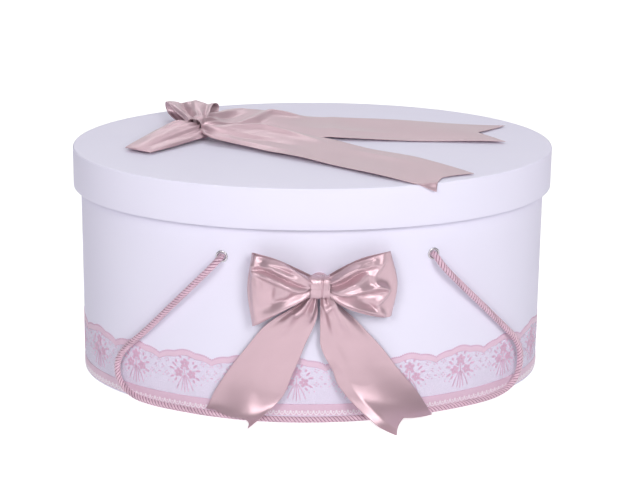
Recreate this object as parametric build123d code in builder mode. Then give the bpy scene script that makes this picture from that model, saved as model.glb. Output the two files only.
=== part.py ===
"""Oval hat box: a rigid board box with a lift-off lid, satin bows, a lace band and a cord handle.

Millimetres. The origin is the centre of the base's underside, +Z is up, +X runs along the
oval's length, and the decorated front faces -Y.
"""
import math
import os

from build123d import *

os.makedirs("parts", exist_ok=True)

# ---------------------------------------------------------------- overall sizes
lid_length = 450.0            # outside of the lid along X
lid_width = 300.0             # outside of the lid along Y
total_height = 219.0          # floor to the top of the lid
lid_rim_height = 38.0         # how far the lid comes down over the box
lid_overhang = 7.0            # the lid's outside stands this far past the box's outside

# ---------------------------------------------------------------- board, paper and gaps
wall_thickness = 2.4          # greyboard of the wall
base_thickness = 2.4          # greyboard of the base
lid_top_thickness = 2.4       # greyboard of the lid's top
lid_rim_thickness = 3.0       # greyboard of the lid's rim
paper = 0.3                   # covering and lining paper
glue_line = 0.1               # left between two glued curved faces
seat_gap = 0.3                # left between the lid and the box's top edge
turn_in = 14.0                # how far covering paper is folded round an edge
base_cover_inset = 2.0        # the paper under the base stops short of the edge by this much
lid_edge_radius = 1.2         # rounding of the lid's top edge

# ---------------------------------------------------------------- lace band
lace_thickness = 0.5
lace_bottom = 2.0
lace_valley_height = 53.0     # height of the band between two scallops
lace_peak_height = 60.0       # height of the band at a scallop's crest
scallop_count = 22
scallop_phase = -19.5         # arc length from the front's middle to the nearest crest

# ---------------------------------------------------------------- eyelets, cord and knots
front_eyelet_left = -86.5     # X of each eyelet
front_eyelet_right = 103.0
back_eyelet_offset = 95.0
eyelet_drop = 29.5            # from the lid's lower edge down to every eyelet's middle
eyelet_bore_radius = 3.3
eyelet_barrel_wall = 0.4
eyelet_flange_radius = 5.5
eyelet_flange_height = 1.1
eyelet_clinch_radius = 4.8
eyelet_clinch_height = 0.5
washer_radius = 5.8
washer_thickness = 0.5
hole_clearance = 0.1          # round the barrel, in the wall and the washer
cord_diameter = 6.0
knot_radius = 7.5
knot_depth = 6.0              # from the knot's centre to its flat face

# ---------------------------------------------------------------- ribbon and bows
ribbon_thickness = 0.8
ribbon_stand_off = 4.0        # hanging tails stay this far from the wall
pad_radius = 9.0
pad_thickness = 4.0
soft_gap = 0.3                # between soft pieces that touch
wrap_size = 18.0              # length of the centre wrap along the bow
wrap_height = 20.0
wrap_depth = 17.0
front_bow_drop = 50.0         # from the lid's lower edge down to the front bow's middle
lid_bow_x = -107.0            # where the lid's bow is tied
lid_bow_y = 25.0

# ---------------------------------------------------------------- worked-out sizes
box_a = lid_length / 2 - lid_overhang
box_b = lid_width / 2 - lid_overhang
lid_a = lid_length / 2
lid_b = lid_width / 2
wall_board_out = paper + glue_line                     # insets from the box's outside
wall_board_in = wall_board_out + wall_thickness
lining_out = wall_board_in + glue_line
lining_in = lining_out + paper
lid_top_z = total_height - paper                       # upper face of the lid's top board
lid_ceiling_z = lid_top_z - lid_top_thickness - paper  # the lining's lower face
wall_top = lid_ceiling_z - seat_gap
base_board_z = 2 * paper
floor_z = base_board_z + base_thickness                # upper face of the base board
lid_bottom_z = total_height - lid_rim_height
eyelet_height = lid_bottom_z - eyelet_drop
front_bow_height = lid_bottom_z - front_bow_drop
skirt_out = paper + glue_line                          # insets from the lid's outside
rim_board_out = skirt_out + paper + glue_line
rim_board_in = rim_board_out + lid_rim_thickness
rim_lining_out = rim_board_in + glue_line
rim_lining_in = rim_lining_out + paper
barrel_radius = eyelet_bore_radius + eyelet_barrel_wall
hole_radius = barrel_radius + hole_clearance
washer_seat = lining_in + glue_line                    # depth of the washer's outer face


def wall_plane(x, side):
    """Plane on the box's outside at X, facing outwards; side is -1 at the front, 1 at the back."""
    y = side * box_b * math.sqrt(1 - (x / box_a) ** 2)
    outward = Vector(x / box_a**2, y / box_b**2, 0).normalized()
    return Plane(origin=(x, y, eyelet_height), x_dir=(-outward.Y, outward.X, 0), z_dir=outward)


def arc_plane(arc, height, steps=20000):
    """Plane on the box's outside, arc millimetres round from the front's middle, facing out."""
    turn_step = 2 * math.pi / steps
    angle, travelled = 0.0, 0.0
    direction = 1 if arc > 0 else -1
    while travelled < abs(arc):
        middle = angle + direction * turn_step / 2
        travelled += turn_step * math.hypot(box_a * math.cos(middle), box_b * math.sin(middle))
        angle += direction * turn_step
    x, y = box_a * math.sin(angle), -box_b * math.cos(angle)
    outward = Vector(x / box_a**2, y / box_b**2, 0).normalized()
    return Plane(origin=(x, y, height), x_dir=(-outward.Y, outward.X, 0), z_dir=outward)


def oval_perimeter():
    """Arc length once round the box's outside."""
    ratio = ((box_a - box_b) / (box_a + box_b)) ** 2
    return math.pi * (box_a + box_b) * (1 + 3 * ratio / (10 + math.sqrt(4 - 3 * ratio)))


eyelet_planes = {
    "front_left": wall_plane(front_eyelet_left, -1),
    "front_right": wall_plane(front_eyelet_right, -1),
    "back_left": wall_plane(-back_eyelet_offset, 1),
    "back_right": wall_plane(back_eyelet_offset, 1),
}
hole_depth = 6 * wall_thickness                        # long enough to pass through the wall


def finish(piece, name):
    """Label one piece and write its STEP file."""
    piece.part.label = name
    export_step(piece.part, f"parts/{name}.step")


# ================================================================ the box
with BuildPart() as base_cover:                        # paper under the base
    with BuildSketch():
        Ellipse(box_a - base_cover_inset, box_b - base_cover_inset)
    extrude(amount=paper)
finish(base_cover, "base_cover")

with BuildPart() as base_board:                        # fits inside the wall board
    with BuildSketch(Plane.XY.offset(base_board_z)):
        Ellipse(box_a - wall_board_in - glue_line, box_b - wall_board_in - glue_line)
    extrude(amount=base_thickness)
finish(base_board, "base_board")

with BuildPart() as base_lining:                       # paper on the floor of the box
    with BuildSketch(Plane.XY.offset(floor_z)):
        Ellipse(box_a - lining_in - glue_line, box_b - lining_in - glue_line)
    extrude(amount=paper)
finish(base_lining, "base_lining")

with BuildPart() as wall_board:                        # bent greyboard strip
    with BuildSketch(Plane.XY.offset(base_board_z)):
        Ellipse(box_a - wall_board_out, box_b - wall_board_out)
        Ellipse(box_a - wall_board_in, box_b - wall_board_in, mode=Mode.SUBTRACT)
    extrude(amount=wall_top - paper - base_board_z)
    with Locations(*eyelet_planes.values()):
        Cylinder(hole_radius, hole_depth, mode=Mode.SUBTRACT)
finish(wall_board, "wall_board")

with BuildPart() as wall_cover:                        # outer paper, folded round both edges
    with BuildSketch(Plane.XY.offset(paper)):
        Ellipse(box_a, box_b)
        Ellipse(box_a - paper, box_b - paper, mode=Mode.SUBTRACT)
    extrude(amount=wall_top - paper)
    with BuildSketch(Plane.XY.offset(paper)):
        Ellipse(box_a, box_b)
        Ellipse(box_a - turn_in, box_b - turn_in, mode=Mode.SUBTRACT)
    extrude(amount=paper)
    with BuildSketch(Plane.XY.offset(wall_top - paper)):
        Ellipse(box_a, box_b)
        Ellipse(box_a - lining_in, box_b - lining_in, mode=Mode.SUBTRACT)
    extrude(amount=paper)
    with BuildSketch(Plane.XY.offset(wall_top - turn_in)):
        Ellipse(box_a - lining_out, box_b - lining_out)
        Ellipse(box_a - lining_in, box_b - lining_in, mode=Mode.SUBTRACT)
    extrude(amount=turn_in)
    with Locations(*eyelet_planes.values()):
        Cylinder(hole_radius, hole_depth, mode=Mode.SUBTRACT)
finish(wall_cover, "wall_cover")

with BuildPart() as wall_lining:                       # inner paper, up to the cover's fold
    with BuildSketch(Plane.XY.offset(floor_z)):
        Ellipse(box_a - lining_out, box_b - lining_out)
        Ellipse(box_a - lining_in, box_b - lining_in, mode=Mode.SUBTRACT)
    extrude(amount=wall_top - turn_in - glue_line - floor_z)
    with Locations(*eyelet_planes.values()):
        Cylinder(hole_radius, hole_depth, mode=Mode.SUBTRACT)
finish(wall_lining, "wall_lining")

# the lace's top edge is a row of scallops, evenly spaced round the oval; a notch parts each two
scallop_pitch = oval_perimeter() / scallop_count
notch_places = [
    arc_plane(scallop_phase + (n + 0.5) * scallop_pitch, lace_peak_height)
    for n in range(scallop_count)
]
notch_depth = lace_peak_height - lace_valley_height
with BuildPart() as lace_band:
    with BuildSketch(Plane.XY.offset(lace_bottom)):
        Ellipse(box_a + lace_thickness + glue_line, box_b + lace_thickness + glue_line)
        Ellipse(box_a + glue_line, box_b + glue_line, mode=Mode.SUBTRACT)
    extrude(amount=lace_peak_height - lace_bottom)
    with BuildSketch(*notch_places):
        with BuildLine():
            Polyline(
                (-scallop_pitch / 2, 0), (-scallop_pitch / 2, 1), (scallop_pitch / 2, 1),
                (scallop_pitch / 2, 0),
            )
            ThreePointArc(
                (scallop_pitch / 2, 0), (scallop_pitch / 4, -notch_depth / 3), (0, -notch_depth),
            )
            ThreePointArc(
                (0, -notch_depth), (-scallop_pitch / 4, -notch_depth / 3), (-scallop_pitch / 2, 0),
            )
        make_face()
    extrude(amount=4 * lace_thickness, both=True, mode=Mode.SUBTRACT)
finish(lace_band, "lace_band")

# ================================================================ eyelets
for place, plane in eyelet_planes.items():
    with BuildPart(plane) as eyelet:                   # flange outside, barrel, clinch inside
        Cylinder(
            eyelet_flange_radius, eyelet_flange_height,
            align=(Align.CENTER, Align.CENTER, Align.MIN),
        )
        fillet(eyelet.edges().group_by(Axis(plane.origin, plane.z_dir))[-1], eyelet_flange_height / 2)
        barrel_length = washer_seat + washer_thickness + eyelet_clinch_height
        Cylinder(barrel_radius, barrel_length, align=(Align.CENTER, Align.CENTER, Align.MAX))
        with Locations((0, 0, -barrel_length)):
            Cylinder(
                eyelet_clinch_radius, eyelet_clinch_height,
                align=(Align.CENTER, Align.CENTER, Align.MIN),
            )
        Cylinder(eyelet_bore_radius, 4 * barrel_length, mode=Mode.SUBTRACT)
    finish(eyelet, f"eyelet_{place}")

    with BuildPart(plane.offset(-washer_seat)) as washer:
        Cylinder(washer_radius, washer_thickness, align=(Align.CENTER, Align.CENTER, Align.MAX))
        Cylinder(hole_radius, 4 * washer_thickness, mode=Mode.SUBTRACT)
    finish(washer, f"eyelet_washer_{place}")

# ================================================================ the handle cord
# The cord leaves the left eyelet, leans on the wall, lies on the floor along the front's foot
# and goes back up into the right eyelet. Its points stay as chosen by hand.
knot_face = barrel_length + soft_gap                   # depth of each knot's flat face
floor_rest = cord_diameter / 2 + 0.05                  # height of the cord's centre on the floor
cord_exit = 5.0                                        # straight run out of each eyelet
cord_points = [
    eyelet_planes["front_left"].offset(-knot_face).origin,
    eyelet_planes["front_left"].offset(cord_exit).origin,
    (-94.8, -141.0, 145.5),
    (-107.0, -136.8, 131.8),
    (-132.5, -122.8, 101.3),
    (-158.0, -106.2, 69.5),
    (-175.5, -92.6, 50.5),
    (-184.2, -85.6, 33.5),
    (-182.4, -88.0, 15.5),
    (-170.0, -98.6, 5.0),
    (-150.0, -112.2, floor_rest),
    (-125.0, -125.8, floor_rest),
    (-95.0, -139.6, floor_rest),
    (-52.0, -151.6, floor_rest),
    (-4.0, -155.5, floor_rest),
    (47.0, -151.2, floor_rest),
    (97.0, -137.2, floor_rest),
    (140.0, -118.6, floor_rest),
    (167.0, -101.6, floor_rest),
    (186.5, -84.4, 6.5),
    (196.0, -73.6, 18.5),
    (197.8, -71.2, 36.5),
    (190.5, -78.6, 52.5),
    (175.0, -93.0, 69.5),
    (148.5, -114.3, 99.5),
    (122.0, -130.8, 129.6),
    (109.8, -135.8, 143.8),
    eyelet_planes["front_right"].offset(cord_exit).origin,
    eyelet_planes["front_right"].offset(-knot_face).origin,
]


def corner_radii(points):
    """Radius for each corner: 0.45 of its shorter run over the tangent of half the turn."""
    radii = []
    for before, corner, after in zip(points, points[1:], points[2:]):
        run_in = Vector(corner) - Vector(before)
        run_out = Vector(after) - Vector(corner)
        half_turn = math.radians(run_in.get_angle(run_out)) / 2
        radii.append(0.45 * min(run_in.length, run_out.length) / math.tan(half_turn))
    return radii


cord_radii = corner_radii(cord_points)
print("cord corner radii:", [round(radius, 1) for radius in cord_radii])
with BuildPart() as handle_cord:
    with BuildLine() as cord_line:
        FilletPolyline(*cord_points, radius=cord_radii)
    with BuildSketch(Plane(origin=cord_line.line @ 0, z_dir=cord_line.line % 0)):
        Circle(cord_diameter / 2)
    sweep()
finish(handle_cord, "handle_cord")
section_area = math.pi * cord_diameter**2 / 4
cord_length = sum(edge.length for edge in cord_line.edges())
print("cord length:", round(cord_length, 1))
print("cord volume over section x length:", round(handle_cord.part.volume / section_area / cord_length, 4))

for side in ("left", "right"):
    plane = eyelet_planes[f"front_{side}"]
    with BuildPart(plane.offset(-knot_face - knot_depth)) as knot:   # stops the cord's end
        Sphere(knot_radius)
        split(bisect_by=plane.offset(-knot_face), keep=Keep.BOTTOM)
    finish(knot, f"handle_knot_{side}")

# ================================================================ the lid
with BuildPart() as lid_top_board:
    with BuildSketch(Plane.XY.offset(lid_top_z)):
        Ellipse(lid_a - rim_board_in - glue_line, lid_b - rim_board_in - glue_line)
    extrude(amount=-lid_top_thickness)
finish(lid_top_board, "lid_top_board")

with BuildPart() as lid_rim_board:                     # strip bent round the top board
    with BuildSketch(Plane.XY.offset(lid_bottom_z + paper)):
        Ellipse(lid_a - rim_board_out, lid_b - rim_board_out)
    extrude(amount=lid_top_z - lid_bottom_z - paper)
    fillet(lid_rim_board.edges().group_by(Axis.Z)[-1], lid_edge_radius - paper)
    with BuildSketch(Plane.XY.offset(lid_bottom_z)):
        Ellipse(lid_a - rim_board_in, lid_b - rim_board_in)
    extrude(amount=lid_rim_height, mode=Mode.SUBTRACT)
finish(lid_rim_board, "lid_rim_board")

with BuildPart() as board_space:                       # what the top's paper is folded over
    with BuildSketch(Plane.XY.offset(lid_top_z)):
        Ellipse(lid_a - skirt_out - paper, lid_b - skirt_out - paper)
    extrude(amount=-turn_in)
    fillet(board_space.edges().group_by(Axis.Z)[-1], lid_edge_radius - paper)

with BuildPart() as lid_top_cover:                     # paper over the top, folded down the rim
    with BuildSketch(Plane.XY.offset(total_height)):
        Ellipse(lid_a - skirt_out, lid_b - skirt_out)
    extrude(amount=-turn_in)
    fillet(lid_top_cover.edges().group_by(Axis.Z)[-1], lid_edge_radius)
    add(board_space.part, mode=Mode.SUBTRACT)
finish(lid_top_cover, "lid_top_cover")

with BuildPart() as lid_rim_cover:                     # paper strip, folded in under the rim
    with BuildSketch(Plane.XY.offset(lid_bottom_z)):
        Ellipse(lid_a, lid_b)
        Ellipse(lid_a - paper, lid_b - paper, mode=Mode.SUBTRACT)
    extrude(amount=lid_rim_height - lid_edge_radius)
    with BuildSketch(Plane.XY.offset(lid_bottom_z)):
        Ellipse(lid_a, lid_b)
        Ellipse(lid_a - rim_lining_in, lid_b - rim_lining_in, mode=Mode.SUBTRACT)
    extrude(amount=paper)
    with BuildSketch(Plane.XY.offset(lid_bottom_z)):
        Ellipse(lid_a - rim_lining_out, lid_b - rim_lining_out)
        Ellipse(lid_a - rim_lining_in, lid_b - rim_lining_in, mode=Mode.SUBTRACT)
    extrude(amount=turn_in)
finish(lid_rim_cover, "lid_rim_cover")

with BuildPart() as lid_rim_lining:                    # inner paper above the rim cover's fold
    with BuildSketch(Plane.XY.offset(lid_bottom_z + turn_in + glue_line)):
        Ellipse(lid_a - rim_lining_out, lid_b - rim_lining_out)
        Ellipse(lid_a - rim_lining_in, lid_b - rim_lining_in, mode=Mode.SUBTRACT)
    extrude(amount=lid_ceiling_z + paper - lid_bottom_z - turn_in - glue_line)
finish(lid_rim_lining, "lid_rim_lining")

with BuildPart() as lid_top_lining:                    # paper under the lid's top
    with BuildSketch(Plane.XY.offset(lid_ceiling_z)):
        Ellipse(lid_a - rim_lining_in - glue_line, lid_b - rim_lining_in - glue_line)
    extrude(amount=paper)
finish(lid_top_lining, "lid_top_lining")


# ================================================================ the front bow
pad_face = -box_b - glue_line                          # Y of the pad's back
wrap_back = pad_face - pad_thickness
wrap_middle = wrap_back - wrap_depth / 2

with BuildPart(Plane.XZ.offset(-pad_face)) as front_bow_pad:         # glued disc of felt
    with Locations((0, front_bow_height)):
        Cylinder(pad_radius, pad_thickness, align=(Align.CENTER, Align.CENTER, Align.MIN))
finish(front_bow_pad, "front_bow_pad")

with BuildPart() as front_bow_wrap:                    # short ribbon round the bow's middle
    with Locations((0, wrap_middle, front_bow_height)):
        Box(wrap_size, wrap_depth, wrap_height)
    fillet(front_bow_wrap.edges().filter_by(Axis.X).group_by(Axis.Y)[0], wrap_depth / 3)
finish(front_bow_wrap, "front_bow_wrap")

# Each loop is a closed fan that opens from the wrap. Its sections: distance along X from the
# bow's middle, height of its middle over the bow's middle, its own height, and how far its back
# and its front stand out from the box.
loop_start = wrap_size / 2 + soft_gap
front_loops = {
    "left": (-1, [(loop_start, 0.0, 18.0, 6.0, 21.0),
                  (35.0, -1.0, 46.0, 5.0, 26.0),
                  (64.0, -5.0, 68.0, 1.0, 19.0)]),
    "right": (1, [(loop_start, 0.0, 18.0, 6.0, 21.0),
                  (37.0, 0.5, 42.0, 5.0, 26.0),
                  (67.5, -0.3, 61.0, 1.0, 19.0)]),
}
loop_rounding = 2.4                                    # a section's depth over its corner radius
for side, (direction, sections) in front_loops.items():
    with BuildPart() as front_loop:
        for distance, rise, height, back, front in sections:
            centre = (direction * distance, -box_b - (back + front) / 2, front_bow_height + rise)
            with BuildSketch(Plane(origin=centre, x_dir=(0, 1, 0), z_dir=(1, 0, 0))):
                RectangleRounded(front - back, height, (front - back) / loop_rounding)
        loft()
    finish(front_loop, f"front_bow_loop_{side}")

# Each tail hangs along the wall, then lies forward over the cord and onto the floor.
# hang: its outline seen from the front, as (x, z) with the tails' top at tail_drawn_top.
# lie: its outline seen from above, as (x, how far in front of the box's foremost point).
tail_drawn_top = 120.7
tail_top = front_bow_height - wrap_height / 2 - soft_gap
over_cord = cord_diameter + 1.0                        # height of the tails where they cross it
hang_end = over_cord + 1.6                             # where hanging turns into lying
front_tails = {
    "left": (
        [(-8.0, tail_drawn_top), (-0.6, tail_drawn_top), (-1.2, 100.0), (-17.0, 62.0),
         (-32.0, 25.0), (-40.0, hang_end), (-101.0, hang_end), (-75.0, 53.0), (-51.0, 88.0)],
        [(-30.0, -23.0), (-44.0, 7.0), (-64.5, 28.5), (-68.0, 13.5), (-100.0, -9.0),
         (-80.0, -23.0)],
    ),
    "right": (
        [(0.6, tail_drawn_top), (8.0, tail_drawn_top), (34.0, 96.0), (54.0, 72.0), (71.0, 48.0),
         (90.0, 23.0), (103.0, hang_end), (30.0, hang_end), (18.0, 37.0), (8.0, 58.0), (1.0, 77.0)],
        [(30.0, -23.0), (38.0, 7.0), (69.0, 44.0), (77.0, 18.0), (104.0, 3.0),
         (103.0, -23.0)],
    ),
}
tail_stretch = (tail_top - hang_end) / (tail_drawn_top - hang_end)
# the lying part's lower face seen from the side, as (how far in front of the box, z)
floor_gap = 0.2
lie_line = [(-30.0, over_cord + 2.5), (5.0, over_cord + 1.0), (17.0, over_cord), (46.0, floor_gap)]
lie_lower = [(-box_b - out, z) for out, z in lie_line]
lie_upper = [(y, z + ribbon_thickness) for y, z in reversed(lie_lower)]
outline_reach = 30.0                                   # outlines are cut this far each way
hang_inner = ribbon_stand_off + lace_thickness
hang_outer = hang_inner + ribbon_thickness
for side, (hang, lie) in front_tails.items():
    with BuildPart() as lying_part:                    # from the wall, over the cord, to the floor
        with BuildSketch(Plane.XY):
            with BuildLine():
                Polyline(*[(x, -box_b - out) for x, out in lie], close=True)
            make_face()
        extrude(amount=outline_reach)
        with BuildSketch(Plane.YZ.offset(-box_a)):
            with BuildLine():
                Polyline(*lie_lower, *lie_upper, close=True)
            make_face()
        extrude(amount=2 * box_a, mode=Mode.INTERSECT)
        with BuildSketch(Plane.XY):
            Ellipse(box_a + hang_inner, box_b + hang_inner)
        extrude(amount=total_height, mode=Mode.SUBTRACT)
    with BuildPart() as front_tail:
        with BuildSketch(Plane.XZ.offset(box_b - outline_reach)):
            with BuildLine():
                Polyline(*[(x, hang_end + (z - hang_end) * tail_stretch) for x, z in hang],
                         close=True)
            make_face()
        extrude(amount=2 * outline_reach)
        with BuildSketch(Plane.XY):
            Ellipse(box_a + hang_outer, box_b + hang_outer)
            Ellipse(box_a + hang_inner, box_b + hang_inner, mode=Mode.SUBTRACT)
        extrude(amount=total_height, mode=Mode.INTERSECT)
        add(lying_part.part)
    finish(front_tail, f"front_bow_tail_{side}")

# ================================================================ the lid's bow
lid_pad_thickness = pad_thickness - 1.0
lid_wrap_z = total_height + lid_pad_thickness

with BuildPart(Plane.XY.offset(total_height)) as lid_bow_pad:        # glued disc of felt
    with Locations((lid_bow_x, lid_bow_y)):
        Cylinder(pad_radius, lid_pad_thickness, align=(Align.CENTER, Align.CENTER, Align.MIN))
finish(lid_bow_pad, "lid_bow_pad")

with BuildPart() as lid_bow_wrap:
    with Locations((lid_bow_x, lid_bow_y, lid_wrap_z + wrap_depth / 2)):
        Box(wrap_height, wrap_size, wrap_depth)
    fillet(lid_bow_wrap.edges().filter_by(Axis.Y).group_by(Axis.Z)[-1], wrap_depth / 3)
finish(lid_bow_wrap, "lid_bow_wrap")

# Each loop's sections: its middle from the wrap's middle as (x, y), the way it faces in degrees,
# its width, and its bottom and top over the lid.
lid_loops = {
    "back": [((0.0, loop_start), 90.0, 18.0, 4.0, 18.0),
             ((-4.0, 35.0), 95.0, 42.0, 2.0, 21.0),
             ((-9.5, 63.0), 98.0, 54.0, 2.0, 21.0)],
    "front": [((0.0, -loop_start), -90.0, 18.0, 3.0, 17.0),
              ((-23.0, -35.0), -132.0, 40.0, 1.0, 16.0),
              ((-53.0, -65.0), -140.0, 30.0, 1.0, 9.0)],
}
for side, sections in lid_loops.items():
    with BuildPart() as lid_loop:
        for (x, y), heading, width, bottom, top in sections:
            angle = math.radians(heading)
            centre = (lid_bow_x + x, lid_bow_y + y, total_height + (bottom + top) / 2)
            across = (-math.sin(angle), math.cos(angle), 0)
            facing = (math.cos(angle), math.sin(angle), 0)
            with BuildSketch(Plane(origin=centre, x_dir=across, z_dir=facing)):
                RectangleRounded(width, top - bottom, (top - bottom) / loop_rounding)
        loft()
    finish(lid_loop, f"lid_bow_loop_{side}")

# Each tail's outline on the lid, from the wrap's middle as (x, y).
lid_tails = {
    "back": [(10.5, 7.0), (49.0, 59.0), (98.0, 59.0), (167.0, 48.0), (296.0, 28.5),
             (267.0, -2.0), (289.0, -32.0), (147.0, -19.0), (95.0, -12.0), (47.0, -4.0),
             (10.5, -1.0)],
    "front": [(10.5, -2.0), (47.0, -5.5), (94.0, -13.5), (141.0, -39.0), (185.0, -72.0),
              (247.0, -135.0), (213.0, -146.0), (207.0, -157.0), (136.0, -121.0), (92.0, -92.0),
              (57.0, -63.0), (10.5, -11.0)],
}
for side, outline in lid_tails.items():
    with BuildPart() as lid_tail:
        with BuildSketch(Plane.XY.offset(total_height + soft_gap)):
            with BuildLine():
                Polyline(*[(lid_bow_x + x, lid_bow_y + y) for x, y in outline], close=True)
            make_face()
        extrude(amount=ribbon_thickness)
    finish(lid_tail, f"lid_bow_tail_{side}")
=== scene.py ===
import bpy
import math
import numpy as np
from mathutils import Matrix, Vector


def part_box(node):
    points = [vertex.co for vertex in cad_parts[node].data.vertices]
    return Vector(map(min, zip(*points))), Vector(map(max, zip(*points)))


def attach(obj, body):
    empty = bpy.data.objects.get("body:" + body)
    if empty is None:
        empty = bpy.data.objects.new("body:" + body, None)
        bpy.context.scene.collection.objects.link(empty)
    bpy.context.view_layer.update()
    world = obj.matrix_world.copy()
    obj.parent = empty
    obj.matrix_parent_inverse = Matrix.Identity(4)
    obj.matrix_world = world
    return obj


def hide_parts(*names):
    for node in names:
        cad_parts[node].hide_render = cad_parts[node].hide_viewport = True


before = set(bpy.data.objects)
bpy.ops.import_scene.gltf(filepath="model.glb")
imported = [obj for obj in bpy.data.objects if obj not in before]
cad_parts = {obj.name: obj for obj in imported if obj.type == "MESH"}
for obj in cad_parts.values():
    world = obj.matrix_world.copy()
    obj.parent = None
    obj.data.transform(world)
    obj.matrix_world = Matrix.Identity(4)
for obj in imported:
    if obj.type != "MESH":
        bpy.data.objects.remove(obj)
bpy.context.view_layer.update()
mm = 0.001


# ---------------------------------------------------------------- the camera
# A long lens a little left of the box's middle, about two metres away, looking
# down on the lid at less than twenty degrees.
camera_place = Vector((-0.0910, -1.9323, 0.7640))
dip, turn, roll = 0.3248, 0.0473, 0.0101
ahead = Vector((math.sin(turn) * math.cos(dip), math.cos(turn) * math.cos(dip), -math.sin(dip)))
level_right = Vector((math.cos(turn), -math.sin(turn), 0))
level_up = level_right.cross(ahead)
right = level_right * math.cos(roll) + level_up * math.sin(roll)
up = level_up * math.cos(roll) - level_right * math.sin(roll)
bpy.ops.object.select_all(action="DESELECT")
bpy.ops.object.camera_add()
camera = bpy.context.object
camera.matrix_world = Matrix.Translation(camera_place) @ Matrix((right, up, -ahead)).transposed().to_4x4()
camera.data.lens = 123.0
camera.data.sensor_width = 36
camera.data.clip_end = 20
bpy.context.scene.camera = camera


# ---------------------------------------------------------------- the cord handle
# A soft twisted cord of four rayon plies, 6 mm thick, with a dark mauve thread in each
# groove that also paints the shade between the plies. It leaves one front eyelet, falls to
# the floor, lies along the box's foot and climbs to the other eyelet; each end is knotted inside.
cord_route = [(x * mm, y * mm, z * mm) for x, y, z in [
    (-85.245, -126.835, 151.5), (-87.864, -136.071, 151.5), (-94.8, -141.0, 145.5),
    (-107.0, -136.8, 131.8), (-132.5, -122.8, 101.3), (-158.0, -106.2, 69.5),
    (-175.5, -92.6, 50.5), (-184.2, -85.6, 33.5), (-182.4, -88.0, 15.5),
    (-170.0, -98.6, 5.0), (-150.0, -112.2, 3.05), (-125.0, -125.8, 3.05),
    (-95.0, -139.6, 3.05), (-52.0, -151.6, 3.05), (-4.0, -155.5, 3.05),
    (47.0, -151.2, 3.05), (97.0, -137.2, 3.05), (140.0, -118.6, 3.05),
    (165.0, -103.2, 3.05), (183.3, -87.8, 6.5), (192.2, -78.6, 18.5),
    (193.2, -77.2, 37.5), (186.8, -83.2, 53.5), (173.4, -94.6, 69.8),
    (148.5, -114.3, 99.5), (122.0, -130.8, 129.6), (109.8, -135.8, 143.8),
    (104.659, -130.749, 151.5), (101.474, -121.692, 151.5)]]
cord_twist = 13.5 * mm      # along the cord, for one full turn of its plies


class Shade:
    """A socket of one material's nodes; arithmetic on it adds Math nodes."""

    def __init__(self, tree, socket=None):
        self.tree, self.socket = tree, socket

    def node(self, kind, settings=None, sockets=None, out=0):
        made = self.tree.nodes.new("ShaderNode" + kind)
        for name, value in (settings or {}).items():
            setattr(made, name, value)
        for name, value in (sockets or {}).items():
            if isinstance(value, Shade):
                self.tree.links.new(value.socket, made.inputs[name])
            else:
                made.inputs[name].default_value = value
        return Shade(self.tree, made.outputs[out]) if len(made.outputs) else None

    def sum(self, operation, a, b=0.0):
        return self.node("Math", {"operation": operation}, {0: a, 1: b})

    def noise(self, place, scale, detail=2.0):
        """A cloudy pattern over a place, with so many patches to the metre."""
        return self.node("TexNoise", None, {"Vector": place, "Scale": scale, "Detail": detail})

    def __add__(self, other): return self.sum("ADD", self, other)
    def __radd__(self, other): return self.sum("ADD", other, self)
    def __sub__(self, other): return self.sum("SUBTRACT", self, other)
    def __rsub__(self, other): return self.sum("SUBTRACT", other, self)
    def __mul__(self, other): return self.sum("MULTIPLY", self, other)
    def __rmul__(self, other): return self.sum("MULTIPLY", other, self)

    def band(self, low, high):
        """0 below low and 1 above high, easing between."""
        return self.node("MapRange", {"interpolation_type": "SMOOTHSTEP"},
                         {"Value": self, "From Min": low, "From Max": high})

    def tint(self, under, over):
        """The colour under where this is 0, and over where it is 1."""
        return self.node("Mix", {"data_type": "RGBA"}, {0: self, 6: under, 7: over}, out=2)


def colour(red, green, blue):
    """A colour from its usual 0 to 255 numbers."""
    return tuple((c / 255 / 12.92) if c <= 10 else ((c / 255 + 0.055) / 1.055) ** 2.4
                 for c in (red, green, blue)) + (1.0,)


def new_material(name):
    made = bpy.data.materials.new(name)
    made.use_nodes = True
    tree = made.node_tree
    return made, Shade(tree), tree.nodes["Principled BSDF"]


def feed(shader, name, shade):
    shade.tree.links.new(shade.socket, shader.inputs[name])


def roughened(nodes, height, depth):
    return nodes.node("Bump", None, {"Strength": 1.0, "Distance": depth, "Height": height})


# rayon: fine bright filaments along each ply, and a little fuzz
def rayon(name, light, dark):
    made, nodes, shader = new_material(name)
    place = nodes.node("TexCoord", out=3)
    patch = nodes.noise(place, 260.0, 3.0)
    along = nodes.node("Attribute", {"attribute_name": "ply_turn"}, out=2)
    thread = nodes.node("Math", {"operation": "SINE"}, {0: along * 62.0})
    feed(shader, "Base Color", (patch * 0.6 + thread * 0.2 + 0.15).tint(colour(*light), colour(*dark)))
    feed(shader, "Roughness", patch * 0.25 + 0.3)
    feed(shader, "Normal", roughened(nodes, thread * 0.5 + patch * 0.8, 0.00012))
    shader.inputs["Sheen Weight"].default_value = 0.35
    shader.inputs["Sheen Roughness"].default_value = 0.4
    shader.inputs["Specular IOR Level"].default_value = 0.6
    return made


cord_pink = rayon("cord_pink", (243, 212, 226), (222, 178, 198))
# painted shade: the groove threads' dark mauve also stands in for the shade that falls between the cord's
# plies
cord_mauve_groove_shade = rayon("cord_mauve_groove_shade", (172, 112, 140), (134, 84, 110))


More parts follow.
